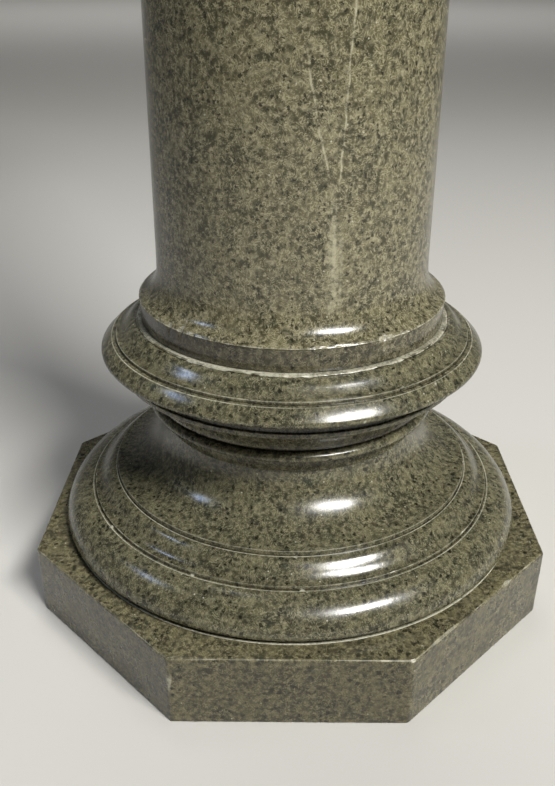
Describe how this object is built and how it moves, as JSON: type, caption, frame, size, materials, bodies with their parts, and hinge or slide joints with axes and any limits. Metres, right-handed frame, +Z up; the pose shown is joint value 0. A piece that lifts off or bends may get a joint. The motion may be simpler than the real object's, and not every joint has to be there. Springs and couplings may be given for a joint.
{
  "type": "turned stone pedestal column",
  "caption": "Polished serpentine pedestal column: octagonal plinth, turned base and collar, tapering round shaft, turned capital and octagonal top slab.",
  "frame": {"origin": "middle of the plinth's underside, on the column's axis", "axes": "+Z up the column's axis, -Y square out of the plinth's front face, +X to its right"},
  "size_m": [0.3, 0.3, 1.0702],
  "materials": {
    "serpentine_block": "worn polish, olive serpentine",
    "serpentine_base": "polished dark green serpentine",
    "serpentine_collar": "polished dark green serpentine",
    "serpentine_shaft": "polished grey-green serpentine",
    "serpentine_capital": "polished dark green serpentine",
    "serpentine_slab": "polished olive serpentine"
  },
  "bodies": {
    "root": {"plinth": "serpentine_block", "base": "serpentine_base", "collar": "serpentine_collar", "shaft": "serpentine_shaft", "capital": "serpentine_capital", "top_slab": "serpentine_slab"}
  },
  "joints": []
}
